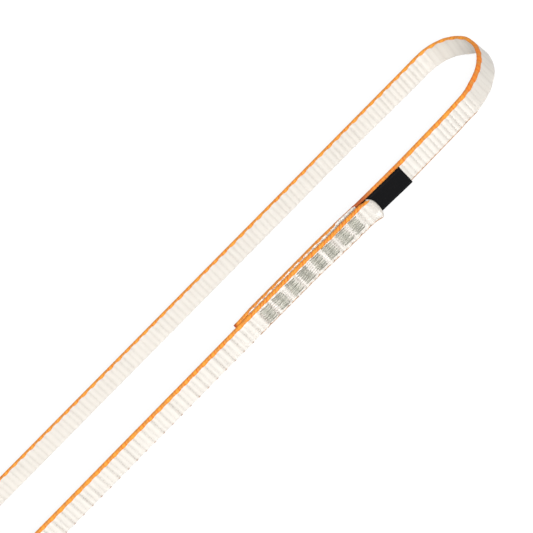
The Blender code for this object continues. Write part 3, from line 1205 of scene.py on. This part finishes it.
        ends = np.minimum(along, route.length - along)
        out = (HALF_TAPE + 0.06) * (1 - 0.04 * neck) * (1 - 0.18 * bump(ends, 0.6)) * sunk
        top = TAPE_WIDTH - 0.06 - 0.08 * neck - 0.04 * turns
        height = top - half * (1 - round_up) + 0.12 * bare - self.ending_drop * ending
        # Painted shade: the necks, the yarn that the lap covers, sinks and hides behind its end, and the near
        # bend are drawn in darker tones; over the label the yarn takes a deeper tone as well.
        tied = np.maximum(neck * (1 - 0.6 * lap), 0.1)
        shades = {
            "neck": np.clip(tied + 0.3 * covered + bare + 0.5 * behind, 0, 1),
            "turn": np.clip(turns + 0.35 * over_label + 0.5 * strained, 0, 1),
            "seal_and_shade": np.clip(0.75 * behind + 0.25 * bare, 0, 1),
        }
        return out, height, shades

    def lower_yarn(self, along: Array, round_out: Array, round_up: Array) -> Ring:
        """The lower edge's yarn, drawn brown in painted shade, which shows on the outer face only, in dashes.

        Args:
            along: lengths from the inner end.
            round_out: places round the ring, from -1 inside to 1 outside.
            round_up: places round the ring, from -1 below to 1 above.

        Returns:
            Distances outwards, heights, and what the material reads.
        """
        x = self.route.at(along)[0]
        lap = self.lap(along) * (along < self.route.fold_along + 2.0)
        tied = bump(self.weave.first_groove(along), 1.3)
        half_pitch = self.dash_pitch / 2
        from_dash = np.mod(x - self.dash_start_x + half_pitch, self.dash_pitch) - half_pitch
        dash = bump(from_dash, self.dash_half)
        begun = ramp(along, self.past_label.start, self.past_label.rise)
        shown = 0.45 * tied * (1 - self.turning(along)) * begun
        shown = shown + self.past_label.on(along) * (0.85 + 0.15 * tied - shown)
        shown = shown + lap * (0.3 + 0.7 * dash - shown)
        clear = smooth(2.0 * shown)
        out = np.where(round_out > 0, 0.12 + 0.8 * clear, 0.12) * round_out
        height = (0.05 + 0.17 * shown) * (1 - round_up) + 0.12 * (1 - clear) + lap * (0.04 + 0.14 * dash)
        return out, height, {"neck": 0.1 + 0 * along, "turn": 0.6 * tied}

    def middle_path(self) -> list[Vector]:
        """The tape's middle line in metres, for its length.

        Returns:
            Points from the inner end to the tucked end.
        """
        along = np.linspace(0.0, self.route.length, self.path_points)
        half = np.full_like(along, TAPE_WIDTH / 2)
        return [Vector(p) * MM for p in self.place(along, 0 * along, half)]

    def build(self) -> None:
        body = self.body()
        edges = [self.selvedge(edge) for edge in Edge]
        body.data.materials.append(PolyethyleneWeave().material())
        edges[0].data.materials.append(SelvedgeYarn().material())
        edges[1].data.materials.append(LOWER_YARN_IN_SHADE.material())
        self.pieces = [body, *edges]
        for piece in self.pieces:
            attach(piece, "sling")
            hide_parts("webbing")
        path = self.middle_path()


# The stitching

# How far, in millimetres, the machine set each bar tack beside its place.
TACK_SLIPS = (-0.35, 0.25, -0.75, -0.4, -0.45, -0.25, -1.0, -0.95)

# One strand from hole to hole: how far across it is, how far up from the lock, and how far it
# leans to its own side of the hole.
STRAND_SHARES = np.array([0.0, 0.0, 0.0, 0.035, 0.1, 0.3, 0.5, 0.7, 0.9, 0.965, 1.0, 1.0, 1.0])
STRAND_RISE = np.array([0.0, 0.4, 0.8, 1.02, 1.1, 1.12, 1.14, 1.12, 1.1, 1.02, 0.8, 0.4, 0.0])
STRAND_LEAN = np.array([0.1, 0.1, 0.1, 0.08, 0.04, 0, 0, 0, -0.04, -0.08, -0.1, -0.1, -0.1])
LEG_RISE, FACE_RISE, TOP_RISE = 0.4, 0.8, 1.14  # at the end of a leg, in the hole and on top


@dataclass
class BarTack:
    """One zigzag bar tack: a needle thread outside and a bobbin thread inside."""

    number: int
    middle_x: float
    route: Route
    lay: Lay
    length: float = 5.1
    height: float = 7.45
    crossings: int = 13
    diameter: float = 0.5
    first_rise: float = 0.36
    row_fall: float = 0.15
    skew: float = 0.3
    sides: int = 8
    lock_gap: float = 0.35
    face_gap: float = 0.02
    below_face: float = 0.3
    over_face: float = 0.14
    uneven: tuple[float, float, float] = (0.22, 0.05, 0.07)  # along the tape, outwards and up
    outer_tone: float = 0.95
    tone_bias: float = 1.6
    same_spot: float = 0.01

    @property
    def foot(self) -> float:
        """Height of the tack's lowest hole."""
        rise = self.first_rise - self.row_fall * (self.number - 1)
        return TAPE_WIDTH / 2 + rise - self.height / 2

    def face_y(self, x: Array, side: Side) -> Array:
        """Where the middle of a thread lies on the face that it crosses.

        Args:
            x: places along the splice.
            side: the face.

        Returns:
            Y at those places.
        """
        if side is Side.OUTSIDE:
            return self.route.outer_layer_y(x) - HALF_TAPE - self.face_gap
        return self.route.inner_y + HALF_TAPE + self.face_gap + 0 * x

    def path(self, side: Side) -> tuple[Array, Array]:
        """Middle line of one thread, from hole to hole, with the legs down to the lock.

        Args:
            side: the face that the thread lies on.

        Returns:
            The points in millimetres, and each point's strand tone from 0 to 1.
        """
        draw = np.random.default_rng(100 * self.number + (1 if side is Side.OUTSIDE else 2))
        away = -float(side.value)  # the splice lies at the front, where outwards is towards -Y
        hole = np.arange(self.crossings + 1)
        at_right = hole % 2 == 0
        heights = self.foot + self.height / self.crossings * hole + np.where(at_right, self.skew, 0.0)
        heights = heights + draw.normal(0, self.uneven[2], len(heights))
        ends = np.where(at_right, 1.0, -1.0) * self.length / 2
        ends = ends + draw.normal(0, self.uneven[0], len(ends))
        points, tones = [], []
        for k in range(self.crossings):
            x = self.middle_x + ends[k] + (ends[k + 1] - ends[k]) * STRAND_SHARES
            z = heights[k] + (heights[k + 1] - heights[k]) * STRAND_SHARES + STRAND_LEAN
            face = self.face_y(x, side)
            lock = (self.route.outer_layer_y(x) + self.route.inner_y) / 2 + away * self.lock_gap
            below = face - away * self.below_face
            surface = face + away * (self.over_face + draw.uniform(0, self.uneven[1]))
            leg = lock + (below - lock) * np.minimum(STRAND_RISE / LEG_RISE, 1)
            over = below + (surface - below) * (STRAND_RISE - FACE_RISE) / (TOP_RISE - FACE_RISE)
            y = np.where(STRAND_RISE > LEG_RISE, over, leg)
            points.append(np.c_[x, y, z])
            # The first and last strands get a dark tone, which is partly painted shade along the tack's
            # edges.
            outermost = k in (0, self.crossings - 1)
            tone = self.outer_tone if outermost else draw.uniform(0, 1) ** self.tone_bias
            tones.append(np.full(len(x), tone))
        return np.vstack(points), np.concatenate(tones)

    def thread(self, side: Side, finish: Material) -> Piece:
        """One thread of the tack, as a thin tube.

        Args:
            side: the face that the thread lies on.
            finish: the thread's material.

        Returns:
            The piece.
        """
        path, tones = self.path(side)
        keep = np.r_[True, np.diff(run_length(path)) > self.same_spot]
        path, tones = path[keep], tones[keep]
        rings = tube(self.lay.settle(path), self.diameter / 2, self.sides)
        chart = ring_chart(run_length(path), rings)
        shades = {"strand": tones[:, None].repeat(self.sides, axis=1)}
        which = "needle" if side is Side.OUTSIDE else "bobbin"
        piece = roll_grid(f"tack_{self.number}_{which}_thread", rings, chart, "thread", shades)
        piece.data.materials.append(finish)
        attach(piece, "sling")
        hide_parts(f"{which}_thread_{self.number}")
        return piece


# The label


@dataclass
class Label:
    """The folded label: one strip whose ends are sewn in and whose fold hangs free."""

    lay: Lay
    ply: float = 0.25
    ply_gap: float = 0.08
    width: float = 10.1
    hinge_gap: float = 0.7
    stand_off: float = 0.35
    columns: int = 12
    step: float = 0.9
    fold_points: int = 10
    rim: float = 0.12  # how far in from a border the cloth reaches its full thickness
    rim_columns: Row = (0.0, 0.02, 0.06)
    wave: float = 0.06
    wave_length: Pair = (6.0, 2.3)

    def __post_init__(self) -> None:
        """Reads where the label lies from its CAD nodes."""
        root_low, root_high = box_mm("label_root")
        flap_low, flap_high = box_mm("label_flap")
        self.start_x, self.end_x = root_low.x, flap_high.x
        self.hinge_x = flap_low.x - self.hinge_gap / 2
        self.middle_y = (root_low.y + root_high.y) / 2

    def strip_line(self) -> tuple[Array, Array, Array]:
        """The strip's middle line seen from above, out along one ply and back on the other.

        Returns:
            X, Y and heading.
        """
        radius = (self.ply + self.ply_gap) / 2
        reach = self.end_x - radius - self.ply / 2
        count = int((reach - self.start_x) / self.step)
        out_x = np.linspace(self.start_x, reach, count)
        angle = np.linspace(-math.pi / 2, math.pi / 2, self.fold_points)[1:-1]
        x = np.r_[out_x, reach + radius * np.cos(angle), out_x[::-1]]
        y = np.r_[0 * out_x - radius, radius * np.sin(angle), 0 * out_x + radius]
        heading = np.r_[0 * out_x, angle + math.pi / 2, 0 * out_x + math.pi]
        return x, y, heading

    def build(self) -> Piece:
        """Makes the label and lets it bend where it leaves the splice.

        Returns:
            The piece.
        """
        x, y, heading = self.strip_line()
        edge = np.array(self.rim_columns)
        inner = np.linspace(self.rim, self.width - self.rim, self.columns)
        heights = np.r_[edge, inner, self.width - edge[::-1]]
        thin = np.clip(np.minimum(heights, self.width - heights) / self.rim, 0, 1)
        outs = self.ply / 2 * np.sqrt(1 - (1 - thin) ** 2)
        ring_heights = np.r_[heights, heights[::-1][1:-1]]
        ring_outs = np.r_[outs, -outs[::-1][1:-1]]
        past = ramp(x, self.hinge_x, self.end_x - self.hinge_x)
        curl = -self.stand_off * past
        grid_x = x[:, None] + ring_outs[None] * np.sin(heading)[:, None]
        grid_y = (self.middle_y + y + curl)[:, None] - ring_outs[None] * np.cos(heading)[:, None]
        turn = ring_heights[None] / self.wave_length[1] + x[:, None] / self.wave_length[0]
        wave = self.wave * np.sin(turn) * past[:, None]
        grid_z = ring_heights[None] + 0 * grid_x
        places = self.lay.settle(np.stack([grid_x, grid_y + wave, grid_z], axis=-1))
        along = run_length(np.c_[x, y])
        flat_ring = np.c_[ring_outs, ring_heights, 0 * ring_heights]
        chart = ring_chart(along, flat_ring[None].repeat(len(along), axis=0))
        piece = roll_grid("folded_label", places, chart, "label", {})
        piece.data.materials.append(WovenLabelCloth().material(self.width))
        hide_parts("label_root", "label_flap")
        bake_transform(piece)
        return piece


# The studio


@dataclass
class Studio:
    """The white floor, the soft lamps and the camera of the product picture."""

    target: tuple[float, float, float] = (145.3, -1.05, 7.5)
    distance: float = 1070.0
    elevation: float = 36.7
    roll: float = 45.36
    lens: float = 156.8
    clip: Pair = (10.0, 50000.0)
    floor_size: float = 6000.0
    floor_drop: float = 0.4
    world_strength: float = 0.35
    key_energy: float = 2.12
    key_angle: float = 30.0
    key_tilt: float = 65.0
    key_turn: float = -4.0
    ceiling_energy: float = 0.63
    ceiling_angle: float = 60.0

    def floor(self) -> None:
        """The background paper, just under the tape."""
        bpy.ops.object.select_all(action="DESELECT")
        bpy.ops.mesh.primitive_plane_add(size=self.floor_size * MM, location=(0, 0, 0))
        paper = bpy.context.object
        paper.name = "background_paper"
        for corner in paper.data.vertices:
            corner.co.z = -self.floor_drop * MM
        paper.data.materials.append(PaperFloor().material())

    def lamps(self) -> None:
        """A broad soft lamp on the camera's side and one overhead, in an even white room."""
        for name, energy, angle, tilt, turn in (
            ("key_lamp", self.key_energy, self.key_angle, self.key_tilt, self.key_turn),
            ("ceiling_lamp", self.ceiling_energy, self.ceiling_angle, 0.0, 0.0),
        ):
            bpy.ops.object.light_add(type="SUN", rotation=(math.radians(tilt), 0.0, math.radians(turn)))
            lamp = bpy.context.object
            lamp.name = name
            lamp.data.energy = energy
            lamp.data.angle = math.radians(angle)
        world = bpy.data.worlds.new("white_room")
        bpy.context.scene.world = world
        world.use_nodes = True
        tree = world.node_tree
        feeds = {"Value": seen_directly(tree), "To Min": self.world_strength, "To Max": 1.0}
        strength = add_node(tree, "MapRange", feeds)
        room = tree.nodes["Background"]
        room.inputs["Color"].default_value = linear("FFFFFF")
        tree.links.new(strength.outputs[0], room.inputs["Strength"])

    def camera(self) -> None:
        """The camera, turned so that the sling runs from corner to corner."""
        raised, turned = math.radians(self.elevation), math.radians(self.roll)
        back = Vector((0, -math.cos(raised), math.sin(raised)))
        rise = Vector((0, math.sin(raised), math.cos(raised)))
        side = Vector((1, 0, 0))
        right = math.cos(turned) * side - math.sin(turned) * rise
        up = math.sin(turned) * side + math.cos(turned) * rise
        basis = Matrix((right, up, back)).transposed()
        spot = (Vector(self.target) + self.distance * back) * MM
        bpy.ops.object.camera_add(location=spot, rotation=basis.to_euler())
        camera = bpy.context.object
        camera.name = "product_camera"
        camera.data.lens = self.lens
        camera.data.clip_start, camera.data.clip_end = (length * MM for length in self.clip)
        bpy.context.scene.camera = camera

    def build(self) -> None:
        """Sets the whole studio up."""
        self.floor()
        self.lamps()
        self.camera()
        bpy.context.scene.view_settings.view_transform = "Standard"


def report(piece: Piece) -> None:
    """Logs a piece's name and how many faces it has."""
    log.info("%s: %d faces", piece.name, len(piece.data.polygons))


def main() -> None:
    """Builds the studio and the sling, piece by piece."""
    logging.basicConfig(level=logging.INFO, format="%(message)s")
    Studio().build()
    route, lay = Route(), Lay()
    log.info("tape: %.1f mm long, fold at %.1f mm", route.length, route.fold_x)
    tacks = []
    for number, slip in enumerate(TACK_SLIPS, 1):
        low, high = box_mm(f"needle_thread_{number}")
        tacks.append(BarTack(number, (low.x + high.x) / 2 + slip, route, lay))
    tape = Tape(route, lay, tacks)
    tape.build()
    for piece in tape.pieces:
        report(piece)
    finish = SewingThread().material()
    for tack in tacks:
        for side in Side:
            report(tack.thread(side, finish))
    report(Label(lay).build())


if __name__ == "__main__":
    main()
